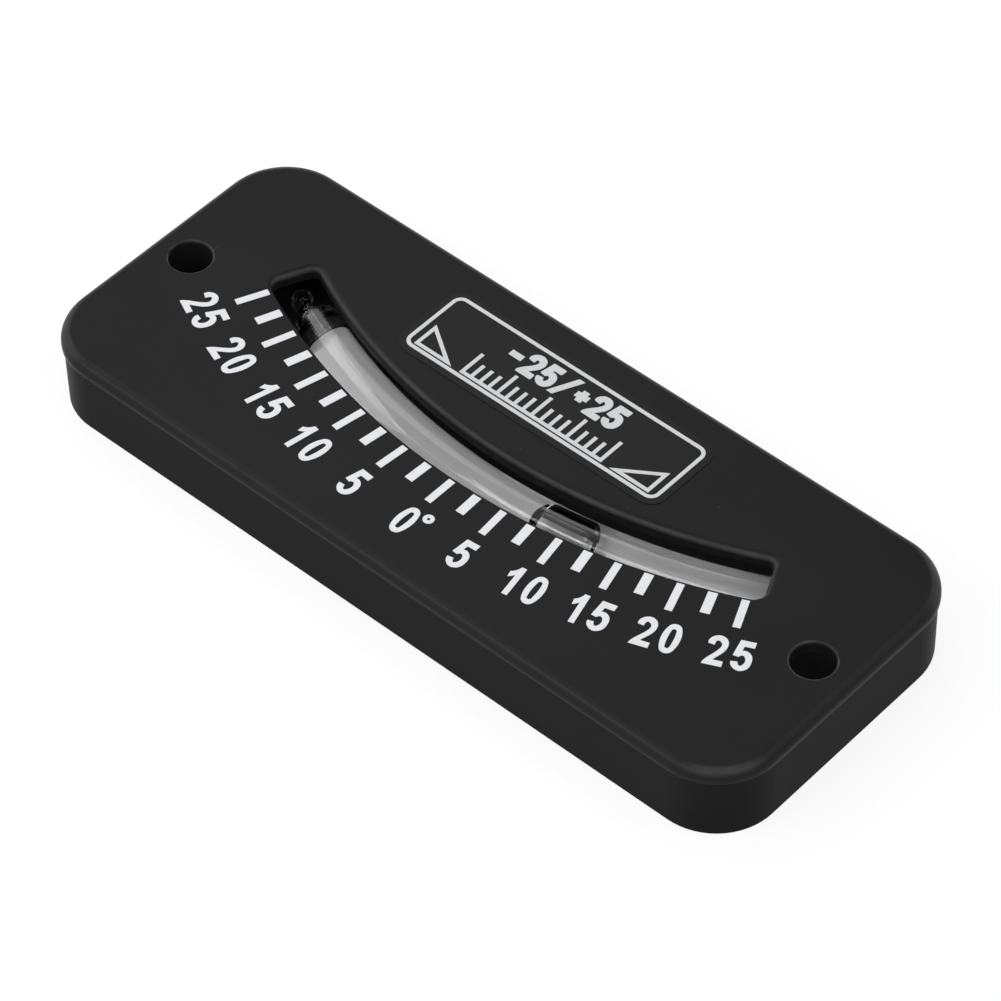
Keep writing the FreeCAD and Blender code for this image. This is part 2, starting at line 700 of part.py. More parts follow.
def vial_adhesive():
    """A curved pad of adhesive between the white strip and each saddle."""
    half = arc_angle("sheet.saddle_thickness / 2")
    pads = []
    for number, side in enumerate((-1, 0, 1), 1):
        middle_angle = f"{side} * sheet.saddle_step"
        span = (f"({middle_angle} - {half})", f"({middle_angle} + {half})")
        outside = arc_bar(f"adhesive_outside_{number}", SEAT_RADIUS, *span, "sheet.adhesive_half_angle")
        inside = arc_bar(f"adhesive_inside_{number}", BACKING_OUTER, *span, "sheet.adhesive_half_angle")
        pads.append(cut(f"adhesive_{number}", outside, inside))
    return fused("vial_adhesive", pads)


# ---------------------------------------------------------------- printed scale
def ticks(label, end_angle, length, width):
    """Marks from -end_angle to end_angle: one bar, patterned round the body's own Z axis."""
    body = new_body(label)
    bind(body, Placement=scale_frame(FACE, -end_angle))
    sketch = new_sketch(body, f"{label}_outline", "XY_Plane")
    start, reach, half = evaluate(TICK_START), size(length), size(width) / 2
    corners = [(start, -half), (start + reach, -half), (start + reach, half), (start, half)]
    points = [FreeCAD.Vector(x, y, 0) for x, y in corners]
    sides = [
        sketch.addGeometry(Part.LineSegment(a, b), False) for a, b in zip(points, points[1:] + points[:1])
    ]
    for k, side in enumerate(sides):
        constrain(sketch, "Coincident", side, 2, sides[(k + 1) % len(sides)], 1)
        constrain(sketch, "Vertical" if k % 2 else "Horizontal", side)
    constrain(sketch, "DistanceX", -1, 1, sides[0], 1, value=start, text=TICK_START)
    constrain(sketch, "DistanceX", sides[0], 1, sides[0], 2, value=reach, text=f"sheet.{length}")
    constrain(sketch, "DistanceY", sides[1], 1, sides[1], 2, value=2 * half, text=f"sheet.{width}")
    constrain(sketch, "DistanceY", -1, 1, sides[1], 2, value=half, text=f"sheet.{width} / 2")
    mark = pad(body, sketch, "sheet.print_thickness")
    pattern = body.newObject("PartDesign::PolarPattern", f"{label}_pattern")
    pattern.Originals = [mark]
    pattern.Axis = (sketch, ["N_Axis"])
    pattern.Occurrences = round(2 * end_angle / MARK_DEGREES) + 1
    pattern.Angle = 2 * end_angle
    body.Tip = pattern
    doc.recompute()
    return body


def on_grid(x, y, step_x, step_y):
    return FreeCAD.Vector(x * step_x, y * step_y, 0)


def outline_face(stretches, step_x, step_y):
    """The face inside a closed run of straight edges and smooth curves."""
    edges = []
    for stretch in stretches:
        points = [on_grid(x, y, step_x, step_y) for x, y in stretch]
        if len(points) == 2:
            edges.append(Part.makeLine(*points))
        else:
            curve = Part.BSplineCurve()
            curve.interpolate(points)
            edges.append(curve.toShape())
    return Part.Face(Part.Wire(edges))


def oval_wire(half_x, half_y):
    """An oval of four tangent arcs. Its end arcs have a set share of the half width as radius."""
    end = OVAL_END_SHARE * half_x
    side = (half_x**2 + (half_y - end) ** 2 - end**2) / (2 * (half_x - end))
    span = math.hypot(side - half_x, half_y - end)
    join_x = half_x - side + side * (side - half_x) / span
    join_y = side * (half_y - end) / span
    corners = [(join_x, -join_y), (join_x, join_y), (-join_x, join_y), (-join_x, -join_y)]
    tops = [(half_x, 0), (0, half_y), (-half_x, 0), (0, -half_y)]
    edges = []
    for k, top in enumerate(tops):
        start, via, stop = corners[k], top, corners[(k + 1) % 4]
        arc = Part.Arc(*(FreeCAD.Vector(x, y, 0) for x, y in (start, via, stop)))
        edges.append(arc.toShape())
    return Part.Wire(edges)


def zero_face(step_x, step_y):
    """An oval ring."""
    outer = Part.Face(oval_wire(ZERO_OUTER[0] * step_x, ZERO_OUTER[1] * step_y))
    inner = Part.Face(oval_wire(ZERO_INNER[0] * step_x, ZERO_INNER[1] * step_y))
    return outer.cut(inner)


def figure_face(figure, width, height):
    """One figure, width by height, about the origin."""
    step_x, step_y = width / GRID_WIDTH, height / GRID_HEIGHT
    if figure == "0":
        return zero_face(step_x, step_y)
    outline = {"1": ONE, "2": TWO, "5": FIVE}[figure]
    return outline_face(outline, step_x, step_y)


def ring_face(radius, line):
    """A flat ring about the origin."""
    discs = [Part.Face(Part.Wire(Part.makeCircle(r))) for r in (radius, radius - line)]
    return discs[0].cut(discs[1])


def shifted(face, x, y=0.0):
    """A copy of a face, moved within its plane."""
    copy = face.copy()
    copy.translate(FreeCAD.Vector(x, y, 0))
    return copy


def flat_bar(x, y, length, width):
    """A rectangle whose middle is at x, y."""
    corner = FreeCAD.Vector(x - length / 2, y - width / 2, 0)
    return Part.makePlane(length, width, corner)


def printed(label, faces, place):
    """A node of flat print: its faces raised by the print's thickness, and set down by an expression."""
    thickness = FreeCAD.Vector(0, 0, size("print_thickness"))
    node = doc.addObject("Part::Feature", label)
    node.Label = label
    node.Shape = Part.makeCompound([face.extrude(thickness) for face in faces])
    bind(node, Placement=place)
    return node


def word_faces(text, width, height, pitch):
    """The figures of a number side by side, pitch apart, with their middle at the origin."""
    first = -(len(text) - 1) * pitch / 2
    return [shifted(figure_face(c, width, height), first + k * pitch) for k, c in enumerate(text)]


def numeral_place(mark):
    """On the scale's arc at a mark, with its feet away from the scale axis."""
    place = scale_frame(FACE, f"({mark} * ({MARK_DEGREES} + sheet.figure_step_extra))")
    return f"{place} * {moved(f'({FIGURE_HEAD} + sheet.figure_height / 2)', 0, 90)}"


def numerals():
    """The scale's numbers, from the left end to the right."""
    made = []
    sizes = [size(f"figure_{name}") for name in ("width", "height", "pitch")]
    for mark in range(-MARKS_EACH_SIDE, MARKS_EACH_SIDE + 1):
        number = abs(mark) * MARK_DEGREES
        side = {-1: "_left", 0: "", 1: "_right"}[(mark > 0) - (mark < 0)]
        made.append(printed(f"numeral_{number}{side}", word_faces(str(number), *sizes), numeral_place(mark)))
    return made


def degree_mark():
    """The small ring at the upper right of the scale's 0."""
    radius = size("degree_radius")
    across = (size("figure_pitch") + size("figure_width")) / 2 - radius
    up = size("figure_height") / 2 - radius / 2
    ring = ring_face(radius, size("degree_line"))
    return printed("degree_mark", [shifted(ring, across, up)], numeral_place(0))


# ---------------------------------------------------------------- label
def label_place(height, rise="0"):
    """Placement expression at a height, in the middle of the label or a rise above it."""
    return f"placement(vector(0; {LABEL_Y} + {rise}; {height}); rotation(vector(0; 0; 1); 0))"


def label_film():
    """A thin clear-coated film on the face, above the slot."""
    body = new_body("label_film")
    bind(body, Placement=label_place(FACE))
    sketch = new_sketch(body, "film_outline", "XY_Plane")
    rounded_rectangle(sketch, FILM_LENGTH, FILM_WIDTH, "sheet.frame_corner + sheet.film_margin")
    pad(body, sketch, "sheet.label_thickness")
    return body


def label_frame():
    """The printed line just inside the film's edge."""
    body = new_body("label_frame")
    bind(body, Placement=label_place(LABEL_FACE))
    sketch = new_sketch(body, "frame_outline", "XY_Plane")
    for step in ("0", "sheet.frame_line"):
        across = [f"{side} - 2 * {step}" for side in (FRAME_LENGTH, FRAME_WIDTH)]
        rounded_rectangle(sketch, *across, f"sheet.frame_corner - {step}")
    pad(body, sketch, "sheet.print_thickness")
    return body


def sign_face(sign, width, height, line):
    """A minus, plus or slash about the origin, of one line width."""
    if sign == "/":
        foot = -(width + line) / 2
        corners = [(foot, 0), (foot + line, 0), (foot + line + width, height), (foot + width, height)]
        points = [FreeCAD.Vector(x, y - height / 2, 0) for x, y in corners]
        return Part.Face(Part.makePolygon(points + points[:1]))
    level = flat_bar(0, 0, width, line)
    if sign == "-":
        return level
    return level.fuse(flat_bar(0, 0, line, width)).removeSplitter()


def bold_face(face, extra):
    """A face with its outline moved outwards by extra, after its curves are made short straight edges."""
    points = face.OuterWire.discretize(Number=BOLD_POINTS)
    return Part.Face(Part.makePolygon(points)).makeOffset2D(extra)


def label_range():
    """The upper row of the label: the scale's two ends in bold figures, with a slash between."""
    height, width, line, bold = (size(f"range_{name}") for name in ("height", "width", "line", "bold"))
    text = f"-{SCALE_END}/+{SCALE_END}"
    faces = []
    for k, character in enumerate(text):
        across = (k - (len(text) - 1) / 2) * size("range_pitch")
        if character.isdigit():
            mark = bold_face(figure_face(character, width - 2 * bold, height - 2 * bold), bold)
        else:
            mark = sign_face(character, width * SIGN_SHARE, height, line)
        faces.append(shifted(mark, across))
    rise = f"({FRAME_WIDTH} / 2 - {RANGE_STACK} + sheet.range_height / 2)"
    return printed("label_range", faces, label_place(LABEL_FACE, rise))


RULER_RISE = f"({RULER_STACK} - sheet.ruler_height / 2 - {FRAME_WIDTH} / 2)"


def label_ruler():
    """The lower row of the label: a short ruler of upright bars on one base line."""
    height, pitch, line = size("ruler_height"), size("ruler_pitch"), size("ruler_line")
    middle_bar = (RULER_BARS - 1) // 2
    faces = []
    for k in range(-middle_bar, middle_bar + 1):
        tall = height if k % RULER_LONG_EVERY == 0 else height * RULER_SHORT_SHARE
        faces.append(flat_bar(k * pitch, (tall - height) / 2, line, tall))
    base = flat_bar(0, (line - height) / 2, 2 * evaluate(RULER_HALF), line)
    ruler = base.multiFuse(faces).removeSplitter()
    return printed("label_ruler", [ruler], label_place(LABEL_FACE, RULER_RISE))


def label_wedges():
    """A wedge at each end of the ruler, rising outwards, with a smaller wedge left open inside it."""
    height, length, line = size("ruler_height"), size("wedge_length"), size("ruler_line")
    near = evaluate(RULER_HALF) + size("wedge_gap")
    slope = math.hypot(length, height)
    foot = line * (length + slope) / height
    top = line * (height + slope) / length
    faces = []
    for side in (-1, 1):
        outer = [(near, 0), (near + length, 0), (near + length, height)]
        inner = [(near + foot, line), (near + length - line, line), (near + length - line, height - top)]
        rings = []
        for corners in (outer, inner):
            points = [FreeCAD.Vector(side * x, y - height / 2, 0) for x, y in corners]
            rings.append(Part.Face(Part.makePolygon(points + points[:1])))
        faces.append(rings[0].cut(rings[1]))
    return printed("label_wedges", faces, label_place(LABEL_FACE, RULER_RISE))


# ---------------------------------------------------------------- the whole object
def build():
    half_way = MARK_DEGREES / 2
    nodes = [
        front_cover(),
        rear_case(),
        vial_tube(),
        damping_fluid(),
        arc_capsule("air_bubble", BUBBLE_RADIUS, BUBBLE_LEFT, BUBBLE_RIGHT),
        ball("indicator_ball", BALL_RADIUS),
        vial_backing(),
        vial_adhesive(),
        ticks("scale_long_ticks", SCALE_END, "long_tick_length", "long_tick_width"),
        ticks("scale_short_ticks", SCALE_END - half_way, "short_tick_length", "short_tick_width"),
        *numerals(),
        degree_mark(),
        label_film(),
        label_frame(),
        label_range(),
        label_ruler(),
        label_wedges(),
    ]
    doc.recompute()
    return nodes


def check(nodes):
    """Stops if any object failed to recompute, or if a sub-part's shape is empty or not valid."""
    for thing in doc.Objects:
        if "Invalid" in thing.State or "Error" in thing.State:
            raise RuntimeError(f"{thing.Name} is {thing.State}")
    for node in nodes:
        if node.Shape.isNull() or not node.Shape.isValid() or node.Shape.Volume <= 0:
            raise RuntimeError(f"{node.Label} has no sound shape")


def export(nodes):
    os.makedirs("parts", exist_ok=True)
    for node in nodes:
        node.Shape.exportStep(f"parts/{node.Label}.step")


nodes = build()
check(nodes)
export(nodes)
for node in nodes:
    print(f"{node.Label:18} {len(node.Shape.Solids):3} solids  {node.Shape.Volume:10.3f} mm3")
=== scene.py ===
"""Looks of the inclinometer: finishes for the moulded housing, the print, the label, the glue and the ball,
and the glass vial with its liquid, bubble and white strip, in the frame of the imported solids."""

import math

import bmesh
import bpy
import numpy as np
from mathutils import Matrix, Vector


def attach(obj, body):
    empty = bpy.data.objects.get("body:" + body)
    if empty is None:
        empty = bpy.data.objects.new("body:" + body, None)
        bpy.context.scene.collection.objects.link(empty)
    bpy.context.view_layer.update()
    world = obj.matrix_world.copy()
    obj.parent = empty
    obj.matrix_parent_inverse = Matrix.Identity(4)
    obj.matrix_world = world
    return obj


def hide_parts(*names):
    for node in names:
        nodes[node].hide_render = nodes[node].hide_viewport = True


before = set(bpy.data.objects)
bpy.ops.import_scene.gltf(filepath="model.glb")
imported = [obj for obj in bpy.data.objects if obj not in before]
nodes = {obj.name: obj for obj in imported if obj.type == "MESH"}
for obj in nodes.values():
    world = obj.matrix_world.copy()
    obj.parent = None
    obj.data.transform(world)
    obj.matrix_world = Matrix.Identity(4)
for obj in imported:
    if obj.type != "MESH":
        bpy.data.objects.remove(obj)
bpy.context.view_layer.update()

MM = 0.001

# The vial along its arc, as in the solids, in millimetres and degrees from the scale's middle
ARC_RADIUS = 92.3
ARC_CENTRE_Y = 90.6
VIAL_HEIGHT = 6.14
TUBE_RADIUS = 3.25
BORE_RADIUS = 2.3
BUBBLE_RADIUS = 2.12
SHOULDER_ANGLE = -23.9
RIGHT_END_ANGLE = 28.4
BORE_LEFT_ANGLE = -21.73
BUBBLE_ANGLE = 8.5
BUBBLE_HALF_LENGTH = 4.95
NIB_RADIUS = 1.55
NIB_LENGTH = 5.5
SHOULDER_ROUND = 1.2

# The white strip: its inner face's radius and its thickness; how far it comes up on both sides of the vial and
# on the high part of the inner side, in degrees round the vial's axis; where along the arc that side rises; and
# how far right of the shoulder it starts
STRIP_RADIUS, STRIP_THICKNESS = 3.3, 0.3
STRIP_SIDE, STRIP_HIGH_SIDE = 55.0, 80.0
RISE_START, RISE_END = 12.5, 20.0
STRIP_INSET = 2.6
STRIP_SHARP_ANGLE = 40.0

# The hollow in the nib: its two ends left of the shoulder, and its radius at each
CHANNEL_LEFT, CHANNEL_RIGHT = 3.6, 0.6
CHANNEL_THIN, CHANNEL_WIDE = 0.6, 1.0

# Faces: round the vial, along its straight runs, and across the strip from side to side
AROUND = 96
TUBE_STEPS, STRIP_STEPS, BUBBLE_STEPS = 260, 240, 60
STRIP_ACROSS = 40
NECK_STEPS, FLAT_STEPS, ROUND_STEPS = 12, 6, 20
CHANNEL_STEPS, CHANNEL_END_STEPS = 24, 10

# The molten end of the glass, in metres along X: even right of the first, all folds left of the second
NECK_RIGHT, NECK_LEFT = -0.0366, -0.0372

# The middles of the housing's corner arcs, the mounting holes and their rims, in metres
CORNER_X, CORNER_Y = 0.0505, 0.0145
HOLE_X, RIM_RADIUS = 0.05385, 0.0031

# Refractive indices
GLASS_IOR = 1.5
LIQUID_IOR = 1.43

# The span that a noise value mostly keeps to
NOISE_LOW, NOISE_HIGH = 0.3, 0.7

# Soft borders of the marks on the housing, in metres and degrees: the lighter inside of the case, which is
# painted light, and the painted highlights on the outer edge, the hole rims and the slot's lip. Each pair is
# where a mark starts to show and where it shows in full.
INSIDE_HEIGHT, INSIDE_WALL, INSIDE_BORE = (0.0012, 0.0016), (0.0083, 0.0078), (0.0036, 0.0040)
EDGE_INNER, EDGE_OUTER, EDGE_HEIGHT = (0.0080, 0.0084), (0.0094, 0.0090), (0.0104, 0.0110)
EDGE_CORNER = (0.0010, 0.0045)
RIM_WIDTH, RIM_HEIGHT = (0.00020, 0.00006), (0.0114, 0.0117)
LIP_LOW, LIP_HIGH, LIP_OUTER = (0.01120, 0.01155), (0.01196, 0.01175), (0.0970, 0.0966)
LIP_END = (27.5, 27.0)

# Patterns in the finishes: cells are counted per metre and depths are in metres. A span is where the noise
# value turns from no mark to a full one.
PATCH_CELLS, GRAIN_CELLS, GRAIN_DEPTH, GRAIN_STRENGTH = 55, 2600, 0.00002, 0.35
DUST_CELLS, DUST_SHARE, DUST_SIZE, DUST_TONE = 700, 0.02, 0.09, 0.07
SCRATCH_CELLS, SCRATCH_SPAN, SCRATCH_STRENGTH = 900, (0.78, 0.82), 0.12
SCRATCH_STRETCH, SCRATCH_TURN = (1.0, 0.12, 1.0), (0, 0, 0.9)
HIGHLIGHT_BAND_CELLS, RIM_CELLS, RIM_BREAKS = 260, 500, (0.35, 0.6)
PIN_HOLE_CELLS, PIN_HOLE_SPAN = 5200, (0.76, 0.8)
STREAK_CELLS, FOLD_CELLS, FOLD_DEPTH = 300, 900, 0.0003


# ---------------------------------------------------------------- meshes
def new_piece(name, points, quads, triangles=()):
    """A mesh object at the origin from points in millimetres and faces, shaded smooth."""
    mesh = bpy.data.meshes.new(name)
    mesh.from_pydata((np.asarray(points) * MM).tolist(), [], [*map(list, quads), *map(list, triangles)])
    mesh.polygons.foreach_set("use_smooth", np.ones(len(mesh.polygons), bool))
    mesh.update()
    piece = bpy.data.objects.new(name, mesh)
    bpy.context.scene.collection.objects.link(piece)
    return piece


def vial_axis(station):
    """Middle and forward direction of the vial at stations along its arc, in millimetres from the scale's
    lowest point. Left of the shoulder the axis runs straight on, along the arc's tangent there."""
    station = np.asarray(station, float)
    shoulder = at_angle(SHOULDER_ANGLE)
    angle = np.maximum(station, shoulder) / ARC_RADIUS
    past = np.minimum(station - shoulder, 0.0)
    forward = np.stack([np.cos(angle), np.sin(angle), np.zeros_like(angle)], -1)
    middle = np.stack(
        [
            ARC_RADIUS * np.sin(angle),
            ARC_CENTRE_Y - ARC_RADIUS * np.cos(angle),
            np.full_like(angle, VIAL_HEIGHT),
        ],
        -1,
    )
    return middle + past[..., None] * forward, forward


def turned_along_vial(name, stations, radii):
    """A closed round body along the vial's axis. Its point at station s and angle a round the axis is the
    axis point plus radius(s) times (cos a outwards + sin a up). Both ends close on one point each."""
    stations, radii = np.asarray(stations, float), np.asarray(radii, float)
    middle, forward = vial_axis(stations)
    outward = np.stack([forward[:, 1], -forward[:, 0], np.zeros(len(forward))], -1)
    turn = np.linspace(0, 2 * np.pi, AROUND, endpoint=False)
    upward = np.array([0.0, 0.0, 1.0])
    spokes = np.cos(turn)[None, :, None] * outward[:, None] + np.sin(turn)[None, :, None] * upward
    rings = middle[1:-1, None] + radii[1:-1, None, None] * spokes[1:-1]
    points = np.concatenate([rings.reshape(-1, 3), middle[:1], middle[-1:]])
    count = len(stations) - 2
    row, column = np.meshgrid(np.arange(count - 1), np.arange(AROUND), indexing="ij")
    here = row * AROUND + column
    beside = row * AROUND + (column + 1) % AROUND
    quads = np.stack([here, here + AROUND, beside + AROUND, beside], -1).reshape(-1, 4)
    ring = np.arange(AROUND)
    following = (ring + 1) % AROUND
    first, last = count * AROUND, count * AROUND + 1
    start_fan = np.stack([np.full(AROUND, first), ring, following], -1)
    tail = (count - 1) * AROUND
    end_fan = np.stack([np.full(AROUND, last), tail + following, tail + ring], -1)
    return new_piece(name, points, quads, np.concatenate([start_fan, end_fan]))


def at_angle(degrees):
    """Station along the vial at an angle from the scale's middle."""
    return math.radians(degrees) * ARC_RADIUS


def quarter(middle, reach, start, end, steps=24):
    """Stations and radii of part of a circle about a point of the axis: station is middle plus reach
    times cos of the angle, radius is reach times its sin, with the angle from start to end degrees."""
    angle = np.radians(np.linspace(start, end, steps))
    return np.stack([middle + reach * np.cos(angle), reach * np.sin(angle)], -1)


def straight_run(left, right, left_radius, right_radius, steps):
    """Stations and radii in equal steps from one pair to the other."""
    return np.stack([np.linspace(left, right, steps), np.linspace(left_radius, right_radius, steps)], -1)


def capsule(name, left, right, radius, steps):
    """A round bar with half-ball ends; left and right are the balls' middles along the axis."""
    profile = np.concatenate(
        [
            quarter(left, radius, 180, 90),
            straight_run(left, right, radius, radius, steps)[1:-1],
            quarter(right, radius, 90, 0),
        ]
    )
    return turned_along_vial(name, *profile.T)


# ---------------------------------------------------------------- materials
def new_material(name):
    """A material with its node tree and its Principled shader."""
    material = bpy.data.materials.new(name)
    material.use_nodes = True
    tree = material.node_tree
    return material, tree, tree.nodes["Principled BSDF"]


def node(tree, kind, **values):
    """A shader node with its properties or inputs set by name; an input's space is written as _."""
    made = tree.nodes.new(kind)
    for key, value in values.items():
        if hasattr(made, key):
            setattr(made, key, value)
        else:
            made.inputs[key.replace("_", " ")].default_value = value
    return made


def object_coordinates(tree):
    """A socket with each point's place in metres, in the frame of its own piece."""
    return node(tree, "ShaderNodeTexCoord").outputs["Object"]


def split_place(tree):
    """The X, Y and Z sockets of the Object coordinates."""
    split = node(tree, "ShaderNodeSeparateXYZ")
    tree.links.new(object_coordinates(tree), split.inputs["Vector"])
    return split.outputs["X"], split.outputs["Y"], split.outputs["Z"]


def grey(tone):
    """A neutral colour."""
    return (tone, tone, tone)


def tones(tree, factor, colour, low, high=1.0):
    """The colour times low where factor is 0, and times high where it is 1."""
    return mixed(tree, factor, tuple(c * low for c in colour), tuple(c * high for c in colour))


def noise(tree, cells, detail=2.0, roughness=0.5, stretch=None, turn=(0, 0, 0)):
    """A noise value over Object coordinates, with that many cells per metre."""
    where = object_coordinates(tree)
    if stretch:
        mapping = node(tree, "ShaderNodeMapping", Scale=stretch, Rotation=turn)
        tree.links.new(where, mapping.inputs["Vector"])
        where = mapping.outputs["Vector"]
    made = node(tree, "ShaderNodeTexNoise", Scale=cells, Detail=detail, Roughness=roughness)
    tree.links.new(where, made.inputs["Vector"])
    return made.outputs["Fac"]


def ramp(tree, source, low, high, out_low=0.0, out_high=1.0):
    """source from low to high mapped to out_low to out_high, and held at the ends."""
    ends = {"From_Min": low, "From_Max": high, "To_Min": out_low, "To_Max": out_high}
    made = node(tree, "ShaderNodeMapRange", clamp=True, **ends)
    tree.links.new(source, made.inputs["Value"])
    return made.outputs["Result"]


def spread(tree, field, out_low=0.0, out_high=1.0):
    """A noise value's usual span mapped to out_low to out_high."""
    return ramp(tree, field, NOISE_LOW, NOISE_HIGH, out_low, out_high)


def maths(tree, operation, a, b):
    """The result of a Math node on two numbers or sockets."""
    made = node(tree, "ShaderNodeMath", operation=operation)
    for socket, value in zip(made.inputs, (a, b)):
        if isinstance(value, (int, float)):
            socket.default_value = value
        else:
            tree.links.new(value, socket)
    return made.outputs[0]


def mixed(tree, factor, first, second):
    """The colour first where factor is 0 and second where it is 1. Each is a colour or a socket."""
    made = node(tree, "ShaderNodeMix", data_type="RGBA")
    tree.links.new(factor, made.inputs["Factor"])
    for socket, value in zip((made.inputs[6], made.inputs[7]), (first, second)):
        if isinstance(value, tuple):
            socket.default_value = (*value, 1.0)
        else:
            tree.links.new(value, socket)
    return made.outputs[2]


def both(tree, *masks):
    """1 where all of the masks are 1: their product."""
    whole = masks[0]
    for mask in masks[1:]:
        whole = maths(tree, "MULTIPLY", whole, mask)
    return whole


def bump(tree, height, distance, strength=1.0):
    """A normal that leans as if the surface rose by distance metres where height is 1."""
    made = node(tree, "ShaderNodeBump", Distance=distance, Strength=strength)
    tree.links.new(height, made.inputs["Height"])
    return made.outputs["Normal"]


def specks(tree, cells, share, size):
    """Small dots: 1 within size of some cell points of a Voronoi pattern, picked by the cell's colour."""
    cell = node(tree, "ShaderNodeTexVoronoi", Scale=cells)
    tree.links.new(object_coordinates(tree), cell.inputs["Vector"])
    split = node(tree, "ShaderNodeSeparateColor")
    tree.links.new(cell.outputs["Color"], split.inputs["Color"])
    near = ramp(tree, cell.outputs["Distance"], size, 0.4 * size)
    picked = maths(tree, "LESS_THAN", split.outputs["Red"], share)
    return maths(tree, "MULTIPLY", near, picked)


def moulded_plastic(name, colour, roughness, level):
    """Satin black plastic: mottled tone, fine moulded grain, sparse dust and faint short scratches."""
    material, tree, shader = new_material(name)
    patches = noise(tree, PATCH_CELLS, 3.0)
    grain = noise(tree, GRAIN_CELLS, 3.0, 0.6)
    dust = specks(tree, DUST_CELLS, DUST_SHARE, DUST_SIZE)
    scratch_field = noise(tree, SCRATCH_CELLS, 1.0, stretch=SCRATCH_STRETCH, turn=SCRATCH_TURN)
    scratches = ramp(tree, scratch_field, *SCRATCH_SPAN, 0.0, SCRATCH_STRENGTH)
    marks = maths(tree, "MAXIMUM", dust, scratches)
    base = tones(tree, spread(tree, patches), colour, 0.88, 1.12)
    tree.links.new(mixed(tree, marks, base, grey(DUST_TONE)), shader.inputs["Base Color"])
    rough = maths(tree, "ADD", spread(tree, patches, roughness - 0.02, roughness + 0.03), marks)
    tree.links.new(rough, shader.inputs["Roughness"])
    tree.links.new(bump(tree, grain, GRAIN_DEPTH, GRAIN_STRENGTH), shader.inputs["Normal"])
    shader.inputs["Specular IOR Level"].default_value = level
    return material


def flat_distance(tree, x, y):
    """Length of the level vector x, y."""
    joined = node(tree, "ShaderNodeCombineXYZ")
    tree.links.new(x, joined.inputs["X"])
    tree.links.new(y, joined.inputs["Y"])
    made = node(tree, "ShaderNodeVectorMath", operation="LENGTH")
    tree.links.new(joined.outputs["Vector"], made.inputs[0])
    return made.outputs["Value"]


def past_corner(tree, along, across):
    """How far a place lies past the corner arcs' middles, along X and along Y, and never below 0."""
    return [
        maths(tree, "MAXIMUM", maths(tree, "SUBTRACT", value, middle), 0.0)
        for value, middle in ((along, CORNER_X), (across, CORNER_Y))
    ]


def housing_coordinates(tree):
    """Distance from the housing's two middle planes, height, and distance from the nearer hole's axis."""
    x, y, height = split_place(tree)
    along, across = (maths(tree, "ABSOLUTE", value, 0.0) for value in (x, y))
    from_hole = flat_distance(tree, maths(tree, "SUBTRACT", along, HOLE_X), across)
    return along, across, height, from_hole


def tone_over(material, where, colour):
    """Lays a colour over the material's base colour where the mask is 1."""
    tree = material.node_tree
    base = tree.nodes["Principled BSDF"].inputs["Base Color"]
    tree.links.new(mixed(tree, where, base.links[0].from_socket, colour), base)


def painted_light_inside(material, colour):
    """A lighter tone, painted light in the case's hollow, on what lies inside the case: within its walls, above
    its floor, outside the bores.
    """
    tree = material.node_tree
    along, across, height, from_hole = housing_coordinates(tree)
    past = flat_distance(tree, *past_corner(tree, along, across))
    inside = ramp(tree, height, *INSIDE_HEIGHT)
    inside = maths(tree, "MINIMUM", inside, ramp(tree, past, *INSIDE_WALL))
    inside = maths(tree, "MINIMUM", inside, ramp(tree, from_hole, *INSIDE_BORE))
    tone_over(material, inside, colour)


def painted_edge_highlight(material, side_highlight, corner_highlight):
    """A paler tone on the round of the upper outer edge, broken by noise, which is a painted highlight: faint
    along the sides and stronger on the corners."""
    tree = material.node_tree
    along, across, height, _ = housing_coordinates(tree)
    past_x, past_y = past_corner(tree, along, across)
    past = flat_distance(tree, past_x, past_y)
    uneven = spread(tree, noise(tree, HIGHLIGHT_BAND_CELLS, 2.0), 0.6, 1.0)
    bounds = (ramp(tree, past, *EDGE_INNER), ramp(tree, past, *EDGE_OUTER), ramp(tree, height, *EDGE_HEIGHT))
    band = both(tree, *bounds, uneven)
    on_corner = ramp(tree, maths(tree, "MINIMUM", past_x, past_y), *EDGE_CORNER)
    tone_over(material, band, side_highlight)
    tone_over(material, both(tree, band, on_corner), corner_highlight)


def painted_rim_highlight(material, colour):
    """A thin pale ring, broken by noise, on the rims of the holes: a painted highlight."""
    tree = material.node_tree
    height, from_hole = housing_coordinates(tree)[2:]
    off_rim = maths(tree, "ABSOLUTE", maths(tree, "SUBTRACT", from_hole, RIM_RADIUS), 0.0)
    broken = ramp(tree, noise(tree, RIM_CELLS, 2.0), *RIM_BREAKS, 0.3, 1.0)
    ring = both(tree, ramp(tree, off_rim, *RIM_WIDTH), ramp(tree, height, *RIM_HEIGHT), broken)
    tone_over(material, ring, colour)


def painted_lip_highlight(material, colour):
    """A paler band, a painted highlight, uneven along its length, on the round of the slot's upper edge and of
    its two ends.
    """
    tree = material.node_tree
    x, y, height = split_place(tree)
    below_centre = maths(tree, "SUBTRACT", ARC_CENTRE_Y * MM, y)
    radius = flat_distance(tree, x, below_centre)
    angle = maths(tree, "ABSOLUTE", maths(tree, "ARCTAN2", x, below_centre), 0.0)
    uneven = spread(tree, noise(tree, HIGHLIGHT_BAND_CELLS, 2.0), 0.55, 1.0)
    bounds = (
        ramp(tree, height, *LIP_LOW),
        ramp(tree, height, *LIP_HIGH),
        ramp(tree, radius, *LIP_OUTER),
        ramp(tree, angle, *map(math.radians, LIP_END)),
    )
    tone_over(material, both(tree, *bounds, uneven), colour)


